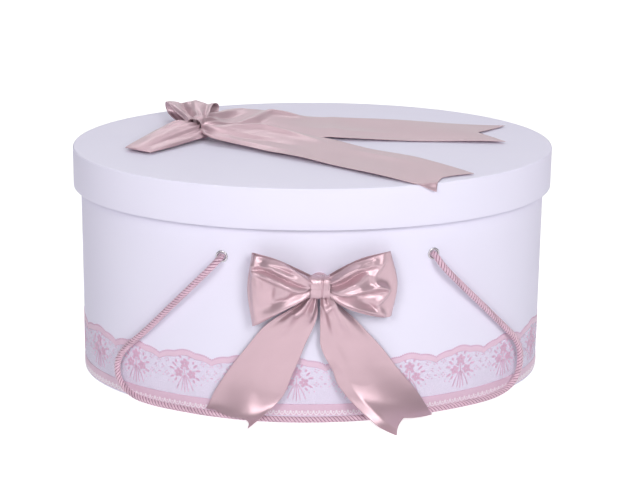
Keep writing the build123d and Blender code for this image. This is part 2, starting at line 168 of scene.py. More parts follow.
def route_curve(points, steps):
    """The cord's middle line: a smooth spline with the route's points as its control points."""
    line = bpy.data.curves.new("cord_line", "CURVE")
    line.dimensions = "3D"
    spline = line.splines.new("NURBS")
    spline.points.add(len(points) - 1)
    for point, place in zip(spline.points, points):
        point.co = (*place, 1)
    spline.order_u = 3
    spline.use_endpoint_u = True
    spline.resolution_u = steps
    line.resolution_u = steps
    holder = bpy.data.objects.new("cord_line", line)
    mesh = bpy.data.meshes.new_from_object(holder)
    places = np.array([v.co for v in mesh.vertices], float)
    bpy.data.objects.remove(holder)
    return places


def evenly(places, step):
    """Points a step apart along a line of close points."""
    far = np.r_[0, np.cumsum(np.linalg.norm(np.diff(places, axis=0), axis=1))]
    at = np.linspace(0, far[-1], int(round(far[-1] / step)) + 1)
    return np.stack([np.interp(at, far, places[:, k]) for k in range(3)], 1), at


def sideways(places):
    """Two directions across a line at each of its points, turning as little as they can."""
    ahead = np.gradient(places, axis=0)
    ahead /= np.linalg.norm(ahead, axis=1)[:, None]
    across = np.zeros_like(ahead)
    last = np.cross(ahead[0], (0, 0, 1.0))
    for n, forward in enumerate(ahead):
        last = last - forward * last.dot(forward)
        last /= np.linalg.norm(last)
        across[n] = last
    return across, np.cross(ahead, across)


def plies(name, places, count, offset, radius, twist, start, sides, material):
    """Strands wound round a line, as one mesh: count of them, offset from the line, twist metres a turn."""
    across, over = sideways(places)
    gone = np.r_[0, np.cumsum(np.linalg.norm(np.diff(places, axis=0), axis=1))]
    bpy.ops.object.select_all(action="DESELECT")
    made = []
    for k in range(count):
        angle = 2 * math.pi * (gone / twist + (k + start) / count)
        strand = places + offset * (np.cos(angle)[:, None] * across + np.sin(angle)[:, None] * over)
        data = bpy.data.curves.new(name, "CURVE")
        data.dimensions = "3D"
        spline = data.splines.new("POLY")
        spline.points.add(len(strand) - 1)
        spline.points.foreach_set("co", np.c_[strand, np.ones(len(strand))].ravel())
        data.bevel_depth, data.bevel_resolution, data.use_fill_caps = radius, sides // 2 - 2, True
        ply = bpy.data.objects.new(name, data)
        bpy.context.collection.objects.link(ply)
        ply.select_set(True)
        made.append(ply)
    bpy.context.view_layer.objects.active = made[0]
    bpy.ops.object.convert(target="MESH")
    for ply in made:
        turns = ply.data.attributes.new("ply_turn", "FLOAT", "POINT")
        turns.data.foreach_set("value", np.arange(len(ply.data.vertices)) % sides / sides)
    bpy.ops.object.join()
    whole = bpy.context.object
    whole.name = name
    whole.data.materials.clear()
    whole.data.materials.append(material)
    bpy.ops.object.shade_smooth()
    return whole


cord_middle, _ = evenly(route_curve(cord_route, 40), 0.9 * mm)
cord = plies("handle_cord_plies", cord_middle, 4, 1.68 * mm, 1.38 * mm, cord_twist, 0.0, 8, cord_pink)
# painted shade: a dark mauve thread in each groove, which also paints the shade between the plies
cord_groove_shade_threads = plies("handle_cord_groove_shade_threads", cord_middle, 4, 2.2 * mm, 0.62 * mm, cord_twist, 0.5, 6,
                     cord_mauve_groove_shade)
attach(cord, "box")
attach(cord_groove_shade_threads, "box")
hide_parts("handle_cord")


# ---------------------------------------------------------------- the cord's knots
# Inside the wall each end of the cord is tied in an overhand knot that can't
# pass the eyelet. Three turns of the same cord, drawn tight.
def cord_knot(name, node, into):
    low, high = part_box(node)
    middle = np.array((low + high) / 2)
    size = float((high - low).x) / 2
    t = np.linspace(0, 2 * math.pi, 150)
    into = np.array(into) / np.linalg.norm(into)
    side = np.cross(into, (0, 0, 1.0))
    rise = np.cross(side, into)
    ring = size - 3.0 * mm
    a = (np.sin(t) + 2 * np.sin(2 * t)) / 3
    b = (np.cos(t) - 2 * np.cos(2 * t)) / 3
    c = -np.sin(3 * t) * 0.62
    places = middle + ring * (a[:, None] * side + b[:, None] * rise + c[:, None] * into)
    knot = plies(name, places, 4, 1.45 * mm, 1.25 * mm, cord_twist, 0.0, 8, cord_pink)
    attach(knot, "box")
    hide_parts(node)
    return knot


knot_left = cord_knot("handle_knot_left_tied", "handle_knot_left", (0.273, 0.962, 0))
knot_right = cord_knot("handle_knot_right_tied", "handle_knot_right", (-0.332, 0.943, 0))


# ---------------------------------------------------------------- the box's boards
# Grey chipboard, glued up as an oval base and a bent wall. It only shows at
# bare edges, as soft grey fibre with darker flecks.
greyboard, nodes, shader = new_material("greyboard")
place = nodes.node("TexCoord", out=3)
fibre = nodes.noise(place, 420.0, 5.0)
fleck = nodes.noise(place, 900.0).band(0.62, 0.7)
feed(shader, "Base Color", (fibre * 0.7 + fleck * 0.3).tint(colour(172, 168, 160), colour(128, 122, 114)))
feed(shader, "Roughness", fibre * 0.2 + 0.75)
feed(shader, "Normal", roughened(nodes, fibre, 0.0002))


def finish_node(name, material):
    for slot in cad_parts[name].material_slots:
        slot.material = material


for name in ("base_board", "wall_board", "lid_top_board", "lid_rim_board"):
    finish_node(name, greyboard)


# ---------------------------------------------------------------- the box's papers
# Smooth white paper with a cool cast is glued round the wall and under the
# base; the same paper, matt, lines the inside. Edges are turned over and soft.
def paper(name, tone, shade_tone, rough):
    made, nodes, shader = new_material(name)
    place = nodes.node("TexCoord", out=3)
    cloud = nodes.noise(place, 14.0)
    grain = nodes.noise(place, 1500.0, 4.0)
    felt_side = nodes.noise(place, 260.0)
    feed(shader, "Base Color", (cloud * 0.55 + grain * 0.25).tint(colour(*tone), colour(*shade_tone)))
    feed(shader, "Roughness", grain * 0.12 + rough)
    feed(shader, "Normal", roughened(nodes, grain * 0.5 + felt_side * 0.6, 0.00005))
    shader.inputs["Specular IOR Level"].default_value = 0.18
    return made


cover_paper = paper("cover_paper", (240, 237, 251), (233, 229, 247), 0.5)
lining_paper = paper("lining_paper", (238, 236, 246), (229, 226, 240), 0.72)
wall_long, wall_wide = 218.0 * mm, 143.0 * mm    # half the wall's outside
lid_long, lid_wide = 225.0 * mm, 150.0 * mm      # half the lid's outside


def oval_shell(name, profile, body, material, filled=False):
    """A band that follows an oval all round: profile is (half length, half width, z) from ring to ring."""
    bpy.ops.object.select_all(action="DESELECT")
    half_x, half_y, z = profile[0]
    bpy.ops.mesh.primitive_circle_add(vertices=320, radius=1.0, fill_type="NOTHING")
    piece = bpy.context.object
    piece.name = name
    bpy.ops.object.mode_set(mode="EDIT")
    bpy.ops.mesh.select_all(action="SELECT")
    bpy.ops.transform.resize(value=(half_x, half_y, 1), center_override=(0, 0, 0))
    bpy.ops.transform.translate(value=(0, 0, z))
    for next_x, next_y, next_z in profile[1:]:
        bpy.ops.mesh.extrude_edges_move(TRANSFORM_OT_translate={"value": (0, 0, next_z - z)})
        bpy.ops.transform.resize(value=(next_x / half_x, next_y / half_y, 1),
                                 center_override=(0, 0, next_z))
        half_x, half_y, z = next_x, next_y, next_z
    bpy.ops.mesh.select_all(action="SELECT")
    if filled:
        bpy.ops.mesh.fill_holes(sides=0)
    else:
        bpy.ops.mesh.region_to_loop()
        bpy.ops.mesh.bridge_edge_loops()
    bpy.ops.mesh.select_all(action="SELECT")
    bpy.ops.mesh.normals_make_consistent(inside=False)
    bpy.ops.object.mode_set(mode="OBJECT")
    bpy.ops.object.shade_smooth_by_angle(angle=math.radians(40))
    piece.data.materials.append(material)
    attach(piece, body)
    return piece


def rings(*steps, a=wall_long, b=wall_wide):
    """Rings of a profile, each an inset from an oval and a height, both in millimetres."""
    return [(a - inset * mm, b - inset * mm, z * mm) for inset, z in steps]


wall_cover = oval_shell("wall_cover_paper", rings(
    (0.0, 0.45), (0.0, 70.0), (0.0, 140.0), (0.0, 215.2), (0.12, 215.58), (0.45, 215.7),
    (2.75, 215.7), (3.1, 215.58), (3.2, 215.2), (3.2, 201.7), (2.9, 201.7), (2.9, 215.3),
    (2.7, 215.4), (0.5, 215.4), (0.3, 215.2), (0.3, 0.45)), "box", cover_paper)
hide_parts("wall_cover")
finish_node("base_cover", cover_paper)
wall_lining = oval_shell("wall_lining_paper", rings(
    (3.2, 3.35), (3.2, 70.0), (3.2, 140.0), (3.2, 201.6), (2.9, 201.6), (2.9, 3.35)), "box", lining_paper)
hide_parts("wall_lining")
finish_node("base_lining", lining_paper)


# ---------------------------------------------------------------- the lace band
# A woven band round the foot, glued to the paper: pink net under a corded,
# scalloped border, a bunch of three roses below each scallop, and a solid
# strip with a row of loops along the bottom.
around = np.linspace(0, 2 * math.pi, 8001)
halfway = (around[1:] + around[:-1]) / 2
arc_at = np.r_[0, np.cumsum(np.hypot(wall_long * np.cos(halfway), wall_wide * np.sin(halfway))
                            * np.diff(around))]
perimeter = arc_at[-1]
scallops = 22
pitch = perimeter / scallops
first_crest = -19.5 * mm


def on_wall(obj, lift):
    """Wrap a piece drawn flat, as (along, height, thickness), round the box's outside."""
    co = np.zeros(len(obj.data.vertices) * 3)
    obj.data.vertices.foreach_get("co", co)
    co = co.reshape(-1, 3)
    angle = np.interp((co[:, 0] + first_crest) % perimeter, arc_at, around)
    nx, ny = np.sin(angle) / wall_long, -np.cos(angle) / wall_wide
    out = (lift + co[:, 2]) / np.hypot(nx, ny)
    co = np.stack([wall_long * np.sin(angle) + nx * out, -wall_wide * np.cos(angle) + ny * out,
                   co[:, 1]], 1)
    obj.data.vertices.foreach_set("co", co.ravel())
    obj.data.update()


def lace_top(along):
    """Height of the lace's edge at a distance from a crest."""
    share = math.pi * along / (pitch / mm)
    return 50.0 + 6.6 * abs(math.cos(share)) ** 0.9 + 1.6 * abs(math.cos(2.5 * share))


def flat_disc(x, z, long, wide, tilt=0.0, corners=8):
    """One flat petal, leaf or dot, in millimetres, added to the mesh being edited."""
    bpy.ops.mesh.primitive_circle_add(vertices=corners, radius=mm, fill_type="NGON")
    bpy.ops.transform.resize(value=(long / 2, wide / 2, 1), center_override=(0, 0, 0))
    bpy.ops.transform.rotate(value=-tilt, orient_axis="Z", center_override=(0, 0, 0))
    bpy.ops.transform.translate(value=(x * mm, z * mm, 0))


def flat_strip(points, width):
    """One flat thread or stem along the points, in millimetres, added to the mesh being edited."""
    bpy.ops.mesh.select_all(action="DESELECT")
    for (x0, z0), (x1, z1) in zip(points, points[1:]):
        run, tilt = math.hypot(x1 - x0, z1 - z0), math.atan2(z1 - z0, x1 - x0)
        bpy.ops.mesh.primitive_plane_add(size=mm)
        bpy.ops.transform.resize(value=(run + width * 0.4, width, 1), center_override=(0, 0, 0))
        bpy.ops.transform.rotate(value=-tilt, orient_axis="Z", center_override=(0, 0, 0))
        bpy.ops.transform.translate(value=((x0 + x1) / 2 * mm, (z0 + z1) / 2 * mm, 0))


def begin_flat(name):
    bpy.ops.object.select_all(action="DESELECT")
    bpy.ops.mesh.primitive_circle_add(vertices=3, radius=mm)
    piece = bpy.context.object
    piece.name = name
    bpy.ops.object.mode_set(mode="EDIT")
    bpy.ops.mesh.select_all(action="SELECT")
    bpy.ops.mesh.delete(type="VERT")
    return piece


def end_flat(piece, thick, lift, material):
    """Repeat a flat motif once for each scallop, wrap it and give it thickness."""
    bpy.ops.object.mode_set(mode="OBJECT")
    again = piece.modifiers.new("again", "ARRAY")
    again.use_relative_offset, again.use_constant_offset = False, True
    again.constant_offset_displace, again.count = (pitch, 0, 0), scallops
    again.use_merge_vertices, again.use_merge_vertices_cap, again.merge_threshold = True, True, 0.00001
    bpy.ops.object.modifier_apply(modifier="again")
    on_wall(piece, lift)
    bpy.ops.object.mode_set(mode="EDIT")
    bpy.ops.mesh.select_all(action="SELECT")
    bpy.ops.mesh.flip_normals()
    bpy.ops.object.mode_set(mode="OBJECT")
    wall = piece.modifiers.new("wall", "SOLIDIFY")
    wall.thickness, wall.offset = thick, 1.0
    bpy.ops.object.modifier_apply(modifier="wall")
    bpy.ops.object.shade_smooth_by_angle(angle=math.radians(50))
    piece.data.materials.clear()
    piece.data.materials.append(material)
    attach(piece, "box")


def flat_band(name, low, high, columns=26):
    """A ring of flat band between two heights, each a rule of the distance from a crest."""
    bpy.ops.object.select_all(action="DESELECT")
    bpy.ops.mesh.primitive_grid_add(x_subdivisions=columns, y_subdivisions=2, size=1, calc_uvs=True)
    piece = bpy.context.object
    piece.name = name
    for v in piece.data.vertices:
        along = v.co.x * pitch / mm
        share = v.co.y + 0.5
        v.co = (along * mm, (low(along) * (1 - share) + high(along) * share) * mm, 0)
    bpy.ops.object.mode_set(mode="EDIT")
    return piece


def lace_thread(name, tone, deep, clear):
    made, nodes, shader = new_material(name)
    place = nodes.node("TexCoord", out=3)
    parts = nodes.node("SeparateXYZ", None, {0: place}, out=0)
    height = Shade(parts.tree, parts.socket.node.outputs[2])
    weave = nodes.noise(place, 1100.0, 3.0)
    cloud = nodes.noise(place, 130.0)
    rows = nodes.node("Math", {"operation": "SINE"}, {0: height * 7800.0 + cloud * 6.0})
    feed(shader, "Base Color", (weave * 0.55 + cloud * 0.4).tint(colour(*tone), colour(*deep)))
    feed(shader, "Roughness", weave * 0.3 + 0.5)
    feed(shader, "Normal", roughened(nodes, rows * 0.4 + weave, 0.00012))
    if clear:
        feed(shader, "Alpha", (weave * 0.9 + rows * 0.12 + 0.12).band(0.3, 0.8) * 0.10 + clear)
    shader.inputs["Sheen Weight"].default_value = 0.25
    return made


lace_pink = lace_thread("lace_pink", (240, 212, 228), (224, 188, 210), 0)
lace_rose = lace_thread("lace_rose", (228, 190, 211), (206, 160, 190), 0)
lace_pale = lace_thread("lace_pale", (255, 247, 253), (251, 238, 247), 0)
lace_net_look = lace_thread("lace_net_thread", (252, 240, 249), (244, 222, 238), 0.16)

lace_net = flat_band("lace_net", lambda s: 2.4, lambda s: lace_top(s) - 2.0)
end_flat(lace_net, 0.15 * mm, 0.12 * mm, lace_net_look)
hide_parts("lace_band")

lace_border = flat_band("lace_border", lambda s: lace_top(s) - 5.6, lambda s: lace_top(s) - 0.9)
end_flat(lace_border, 0.3 * mm, 0.3 * mm, lace_pink)
lace_strip = flat_band("lace_foot_strip", lambda s: 2.0, lambda s: 12.6)
end_flat(lace_strip, 0.3 * mm, 0.3 * mm, lace_pink)

lace_edges = begin_flat("lace_corded_edges")
half_pitch = pitch / mm / 2
for k in range(26):
    a, b = -half_pitch + half_pitch * k / 13, -half_pitch + half_pitch * (k + 1) / 13
    flat_strip([(a, lace_top(a) - 0.9), (b, lace_top(b) - 0.9)], 0.9)
    flat_strip([(a, lace_top(a) - 5.6), (b, lace_top(b) - 5.6)], 0.8)
    flat_disc((a + b) / 2, lace_top((a + b) / 2) - 0.1, 1.5, 1.2, corners=6)
for z in (7.5, 12.7):
    flat_strip([(-half_pitch, z), (-half_pitch / 2, z), (0, z), (half_pitch / 2, z), (half_pitch, z)], 0.8)
end_flat(lace_edges, 0.45 * mm, 0.3 * mm, lace_rose)

lace_loops = begin_flat("lace_foot_loops")
for k in range(10):
    x = -half_pitch + (k + 0.5) * half_pitch * 2 / 10
    for turn_to in range(7):
        t0, t1 = math.pi * turn_to / 7, math.pi * (turn_to + 1) / 7
        flat_strip([(x + 2.3 * math.cos(t0), 7.0 - 4.0 * math.sin(t0)),
                    (x + 2.3 * math.cos(t1), 7.0 - 4.0 * math.sin(t1))], 1.1)
    flat_disc(x, 5.6, 1.6, 1.6, corners=6)
end_flat(lace_loops, 0.25 * mm, 0.55 * mm, lace_pale)

lace_flowers = begin_flat("lace_roses")
for x, z, size in ((0, 44.5, 4.4), (-6.2, 35.0, 4.2), (6.6, 34.4, 4.2)):
    for k in range(5):
        t = 2 * math.pi * k / 5 + 0.3 + x
        flat_disc(x + size * 0.62 * math.cos(t), z + size * 0.62 * math.sin(t), size * 1.0, size * 0.78, t)
    for k in range(3):
        t = 2 * math.pi * k / 3 + 1.1 + x
        flat_disc(x + size * 0.24 * math.cos(t), z + size * 0.24 * math.sin(t), size * 0.4, size * 0.24,
                  t + 1.57, corners=6)
for side in (-1, 1):
    for x, z, long, tilt in ((10.4, 42.6, 5.6, 0.75), (13.0, 38.6, 5.0, 0.2), (4.6, 50.6, 3.8, 1.0),
                             (12.6, 30.6, 5.0, -0.5), (3.0, 39.6, 3.6, 0.5), (9.0, 28.0, 4.2, -1.0),
                             (8.4, 46.0, 3.4, 1.3)):
        flat_disc(side * x, z, long, 2.1, side * tilt)
    for x, z in ((16.4, 32.4), (18.2, 31.0), (19.8, 32.8), (18.2, 34.4), (22.2, 30.4), (16.4, 45.4),
                 (18.2, 44.2), (17.2, 47.4), (20.2, 46.2), (21.4, 38.6), (23.2, 37.2), (22.8, 40.2),
                 (24.8, 44.0), (11.6, 24.6), (16.2, 25.6), (25.4, 33.0)):
        flat_disc(side * x, z, 1.35, 1.35, corners=6)
    flat_strip([(side * 0.8, 33.0), (side * 2.2, 24.0), (side * 3.4, 17.5)], 0.7)
    flat_strip([(side * 2.0, 32.0), (side * 5.8, 25.0), (side * 8.2, 18.6)], 0.8)
flat_strip([(0.0, 40.0), (0.0, 31.0), (0.0, 16.5)], 0.8)
end_flat(lace_flowers, 0.35 * mm, 0.3 * mm, lace_rose)


# ---------------------------------------------------------------- the eyelets
# Four nickel-plated brass eyelets, set through the wall with a washer inside;
# each has a rolled flange and a spun barrel. Only the front pair hold the cord.
nickel, nodes, shader = new_material("nickel")
place = nodes.node("TexCoord", out=3)
scuff = nodes.noise(place, 900.0, 3.0)
feed(shader, "Base Color", scuff.tint(colour(206, 203, 205), colour(170, 167, 172)))
feed(shader, "Roughness", scuff * 0.2 + 0.16)
feed(shader, "Normal", roughened(nodes, scuff, 0.00003))
shader.inputs["Metallic"].default_value = 1.0
eyelet_height = 0.1515
for corner, x, face in (("front_left", -86.5, -1), ("front_right", 103.0, -1),
                        ("back_left", -95.0, 1), ("back_right", 95.0, 1)):
    finish_node("eyelet_washer_" + corner, nickel)
    x *= mm
    y = face * wall_wide * math.sqrt(1 - (x / wall_long) ** 2)
    outward = Vector((x / wall_long ** 2, y / wall_wide ** 2, 0)).normalized()
    bpy.ops.object.select_all(action="DESELECT")
    bpy.ops.mesh.primitive_circle_add(vertices=10, radius=1.05 * mm, fill_type="NOTHING")
    eyelet = bpy.context.object
    eyelet.name = "eyelet_" + corner + "_spun"
    bpy.ops.object.mode_set(mode="EDIT")
    bpy.ops.mesh.select_all(action="SELECT")
    bpy.ops.transform.resize(value=(1, 0.62, 1), center_override=(0, 0, 0))
    bpy.ops.transform.rotate(value=math.pi / 2, orient_axis="X", center_override=(0, 0, 0))
    bpy.ops.transform.translate(value=(4.45 * mm, 0, 0.55 * mm))
    bpy.ops.mesh.spin(steps=40, angle=2 * math.pi, center=(0, 0, 0), axis=(0, 0, 1))
    bpy.ops.mesh.select_all(action="SELECT")
    bpy.ops.mesh.remove_doubles(threshold=0.000001)
    bpy.ops.mesh.select_all(action="DESELECT")
    bpy.ops.mesh.primitive_circle_add(vertices=40, radius=3.7 * mm, fill_type="NOTHING")
    bpy.ops.transform.translate(value=(0, 0, 0.3 * mm))
    radius = 3.7
    for wider, drop in ((3.55, 2.4), (3.6, 2.2), (4.7, 0.25), (4.6, -0.12)):
        bpy.ops.mesh.extrude_edges_move(TRANSFORM_OT_translate={"value": (0, 0, -drop * mm)})
        bpy.ops.transform.resize(value=(wider / radius, wider / radius, 1), center_override=(0, 0, 0))
        radius = wider
    bpy.ops.object.mode_set(mode="OBJECT")
    eyelet.data.transform(Matrix.Translation((x, y, eyelet_height))
                          @ outward.to_track_quat("Z", "Y").to_matrix().to_4x4())
    bpy.ops.object.mode_set(mode="EDIT")
    bpy.ops.mesh.select_all(action="SELECT")
    bpy.ops.mesh.normals_make_consistent(inside=False)
    bpy.ops.object.mode_set(mode="OBJECT")
    bpy.ops.object.shade_smooth()
    eyelet.data.materials.append(nickel)
    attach(eyelet, "box")
    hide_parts("eyelet_" + corner)


# ---------------------------------------------------------------- the front bow
# One 62 mm dusty pink satin ribbon: two loops, a short band drawn round their
# middle over a felt pad, and two tails. The left tail runs down the wall and
# both lie over the cord onto the floor, with swallowtail ends.
satin, nodes, shader = new_material("satin_ribbon")
flat_place = nodes.node("UVMap", {"uv_map": "UVMap"})
parts = nodes.node("SeparateXYZ", None, {0: flat_place})
across_ribbon = Shade(parts.tree, parts.socket.node.outputs[1])
threads, ribs = (
    nodes.noise(nodes.node("Mapping", None, {"Vector": flat_place, "Scale": stretch}), 1.0)
    for stretch in ((9000.0, 260.0, 1.0), (240.0, 5200.0, 1.0)))
cloud = nodes.noise(flat_place, 45.0)
off_middle = across_ribbon - 0.031
edge = off_middle.sum("ABSOLUTE", off_middle).band(0.0298, 0.0304)
feed(shader, "Base Color", (cloud * 0.4 + threads * 0.3 + edge * 0.35).tint(
    colour(207, 177, 185), colour(187, 154, 165)))
feed(shader, "Roughness", threads * 0.1 + 0.25 + edge * 0.2)
feed(shader, "Normal", roughened(nodes, threads + ribs * 0.7, 0.00006))
shader.inputs["Metallic"].default_value = 0.42
shader.inputs["Coat Weight"].default_value = 0.35
shader.inputs["Coat Roughness"].default_value = 0.24
shader.inputs["Sheen Weight"].default_value = 0.2
shader.inputs["Sheen Roughness"].default_value = 0.35

felt, nodes, shader = new_material("felt_pad")
fuzz = nodes.noise(nodes.node("TexCoord", out=3), 700.0, 5.0)
feed(shader, "Base Color", fuzz.tint(colour(224, 196, 206), colour(202, 170, 183)))
feed(shader, "Roughness", fuzz * 0.1 + 0.88)
feed(shader, "Normal", roughened(nodes, fuzz, 0.0003))
finish_node("front_bow_pad", felt)
finish_node("lid_bow_pad", felt)
ribbon_wide, ribbon_thick = 62.0 * mm, 0.4 * mm


def through(points, count, first=0.0, last=None):
    """Evenly shared places on a smooth line through the points; each point may be a row of points."""
    p = np.array(points, float)
    last = len(p) - 1 if last is None else last
    p = np.concatenate([2 * p[:1] - p[1:2], p, 2 * p[-1:] - p[-2:-1]])
    t = np.clip(np.linspace(first, last, count), 0, len(points) - 1 - 1e-6)
    n = t.astype(int)
    f = (t - n).reshape((-1,) + (1,) * (p.ndim - 1))
    a, b, c, d = p[n], p[n + 1], p[n + 2], p[n + 3]
    return 0.5 * (2 * b + (c - a) * f + (2 * a - 5 * b + 4 * c - d) * f ** 2
                  + (3 * b - a - 3 * c + d) * f ** 3)


def ridge(flat, line, height, steep, gentle):
    """How far a fold stands out.

    A crest along the line that falls away steeply on its left, gently on its right.
    """
    line = np.array(line, float)
    best = np.full(flat.shape[:-1], 1e9)
    signed = np.zeros(flat.shape[:-1])
    along = np.zeros(flat.shape[:-1])
    for n, (a, b) in enumerate(zip(line, line[1:])):
        run = b - a
        t = np.clip(((flat - a) @ run) / (run @ run), 0, 1)
        off = flat - (a + t[..., None] * run)
        far = np.linalg.norm(off, axis=-1)
        side = np.sign(run[0] * off[..., 1] - run[1] * off[..., 0])
        near = far < best
        best, signed = np.where(near, far, best), np.where(near, far * side, signed)
        along = np.where(near, (n + t) / (len(line) - 1), along)
    fade = np.sin(np.clip(along, 0, 1) * math.pi * 0.86 + 0.22)
    wide = np.where(signed > 0, steep, gentle)
    return height * fade * np.exp(-(best / wide) ** 1.6)


def folds(flat, *creases):
    """Ridges added up, each as its height, its two widths and its line; a groove's height is below 0."""
    return sum(ridge(flat, line, height, steep, gentle) for height, steep, gentle, line in creases)


def raised(places, lift):
    """The same grid of places, each moved out along the cloth's own normal."""
    ahead, across = np.gradient(places, axis=0), np.gradient(places, axis=1)
    normal = np.cross(ahead, across)
    normal /= np.maximum(np.linalg.norm(normal, axis=-1), 1e-9)[..., None]
    return places + normal * lift[..., None]


def eased(places, rounds=2):
    """Softens a grid of places, keeping its border."""
    for _ in range(rounds):
        middle = (places[:-2, 1:-1] + places[2:, 1:-1] + places[1:-1, :-2] + places[1:-1, 2:]) / 4
        places[1:-1, 1:-1] = places[1:-1, 1:-1] * 0.4 + middle * 0.6
    return places


def clear_of_box(places, gap):
    """Moves places out of the oval body, in millimetres, to stand a gap away."""
    x, y = places[..., 0], places[..., 1]
    a, b = wall_long / mm + gap, wall_wide / mm + gap
    wall_y = -b * np.sqrt(np.clip(1 - (x / a) ** 2, 0, 1))
    places[..., 1] = np.where((x / a) ** 2 + (y / b) ** 2 < 1, np.minimum(y, wall_y), y)
    return places


def clear_of_cord(places, gap):
    """Moves places up and forward off the cord, in millimetres, from its middle line."""
    flat = places.reshape(-1, 3)
    middle = cord_middle[::3] / mm
    for _ in range(2):
        off = flat[:, None, :] - middle[None]
        far = np.linalg.norm(off, axis=-1)
        n = far.argmin(1)
        near = far[np.arange(len(flat)), n]
        away = off[np.arange(len(flat)), n]
        away[:, 1] = np.minimum(away[:, 1], 0.3 * np.abs(away[:, 2]))
        away[:, 2] = np.abs(away[:, 2]) + 0.2
        away /= np.linalg.norm(away, axis=1)[:, None]
        need = near < gap
        flat[need] = middle[n[need]] + away[need] * gap
    return flat.reshape(places.shape)


def ribbon_piece(name, places, body, length, width=ribbon_wide):
    """A piece of ribbon from a grid of places in millimetres: rows along it, columns across it."""
    rows, columns = places.shape[:2]
    bpy.ops.object.select_all(action="DESELECT")
    bpy.ops.mesh.primitive_grid_add(x_subdivisions=columns - 1, y_subdivisions=rows - 1, size=1,
                                    calc_uvs=True)
    piece = bpy.context.object
    piece.name = name
    mesh = piece.data
    co = np.zeros(len(mesh.vertices) * 3)
    mesh.vertices.foreach_get("co", co)
    co = co.reshape(-1, 3)
    column = np.rint((co[:, 0] + 0.5) * (columns - 1)).astype(int)
    row = np.rint((co[:, 1] + 0.5) * (rows - 1)).astype(int)
    mesh.vertices.foreach_set("co", (places[row, column] * mm).ravel())
    corners = np.zeros(len(mesh.loops), int)
    mesh.loops.foreach_get("vertex_index", corners)
    uv = np.stack([row / (rows - 1) * length, column / (columns - 1) * width], 1)[corners]
    mesh.uv_layers[0].name = "UVMap"
    mesh.uv_layers[0].data.foreach_set("uv", uv.ravel())
    mesh.update()
    for kind, label in (("SOLIDIFY", "cloth"), ("SUBSURF", "smooth")):
        step = piece.modifiers.new(label, kind)
        if kind == "SOLIDIFY":
            step.thickness, step.offset = ribbon_thick, 0.0
        else:
            step.levels = step.render_levels = 1
        bpy.ops.object.modifier_apply(modifier=label)
    bpy.ops.object.shade_smooth()
    mesh.materials.append(satin)
    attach(piece, body)
    return piece


def crosswise(stations, columns):
    """Stations of (edge, middle, edge), each filled in to so many columns."""
    return np.swapaxes(through(np.swapaxes(np.array(stations, float), 0, 1), columns), 0, 1)


def loop_places(rows, columns, stations):
    """A ribbon loop from stations of (edge, middle, edge) out from the knot, round the end and back."""
    places = through(crosswise(stations, columns), rows)
    return places, np.linspace(0, 1, rows)[:, None], np.linspace(0, 1, columns)[None]


def gathers(flat, knot, count, turn_by, height, reach):
    """Small pleats that run out from a knot and fade with distance."""
    off = flat - np.array(knot, float)
    far = np.linalg.norm(off, axis=-1)
    angle = np.arctan2(off[..., 1], np.abs(off[..., 0]))
    return (height * np.sin(angle * count + turn_by + far * 0.03) * np.exp(-(far / reach) ** 2)
            * np.clip(far / 8, 0, 1))


def pleats(u, v, count, turn_by, height, reach=0.17):
    """Deep folds where a loop is drawn in at the knot, at both ends of its length."""
    near = np.minimum(u, 1 - u)
    return height * np.sin(v * 2 * math.pi * count + turn_by) * np.exp(-(near / reach) ** 2)


# left loop: stations of (lower edge, middle, upper edge), each (x, y, z), out from the knot and back
places, u, v = loop_places(144, 82, [
    ((-6, -159, 123), (-7, -160, 131), (-6, -159, 140)),
    ((-17, -162, 119.5), (-18, -165, 133), (-19, -162, 146.5)),
    ((-30, -161, 112.5), (-32, -166, 133), (-33, -160, 155)),
    ((-45, -157, 101.5), (-47, -161, 130), (-47, -156, 158.5)),
    ((-57, -152.5, 93.5), (-60.5, -153.5, 128), (-57.5, -152, 160)),
    ((-59.5, -149.5, 92), (-64, -149.5, 127), (-60, -149, 160.3)),
    ((-56.5, -146, 94), (-60, -145.5, 127), (-57, -145.5, 159)),
    ((-38, -145.5, 106), (-40, -146, 129), (-38, -145.5, 153)),
    ((-20, -147, 117), (-20, -147, 131), (-20, -147, 145)),
    ((-7, -149, 123), (-7, -149, 131), (-7, -149, 139))])
flat = places[..., [0, 2]]
front = np.clip((0.5 - u) / 0.06, 0, 1)
lift = (folds(flat,
        (6.5, 9.0, 1.5, [(-63.5, 146.5), (-53, 151.5), (-41, 149), (-26, 140.5), (-9, 133)]),
        (6.0, 2.0, 8.0, [(-9, 128.5), (-20, 130.5), (-29, 135), (-42, 139), (-53, 142.5), (-63, 146)]),
        (-4.0, 1.6, 1.6, [(-59, 147.2), (-48, 146.5), (-34, 142), (-10, 131)]),
        (5.0, 7.0, 2.2, [(-59, 95), (-44, 105.5), (-30, 115), (-18, 121.5), (-8, 126)]),
        (-3.6, 3.4, 3.0, [(-50, 111), (-36, 119), (-22, 125), (-9, 129)]),
        (-2.6, 1.6, 1.8, [(-48, 98), (-36, 106), (-24, 115), (-10, 123)]),
        (2.6, 3.2, 3.2, [(-56, 160), (-58.5, 135), (-57, 112), (-54, 96)]),
        (-2.6, 3.4, 3.4, [(-50, 158), (-51.5, 150)]),
        (3.4, 3.2, 1.8, [(-9, 137), (-18, 143.5), (-27, 150), (-36, 156)]),
        (3.4, 2.2, 3.4, [(-56, 143), (-54, 130), (-51, 112)]),
        (-3.4, 3.4, 3.6, [(-42, 138), (-44, 126), (-43, 114)]),
        (3.0, 4.0, 5.0, [(-31, 137), (-30, 130), (-32, 120)]),
        (2.2, 2.4, 3.0, [(-14, 143), (-24, 149), (-38, 152), (-48, 156)]),
        (-2.0, 1.6, 2.0, [(-22, 144), (-34, 149.5), (-44, 152.5)]))
        + gathers(flat, (0, 131), 13, 0.4, 1.1, 24)) * front
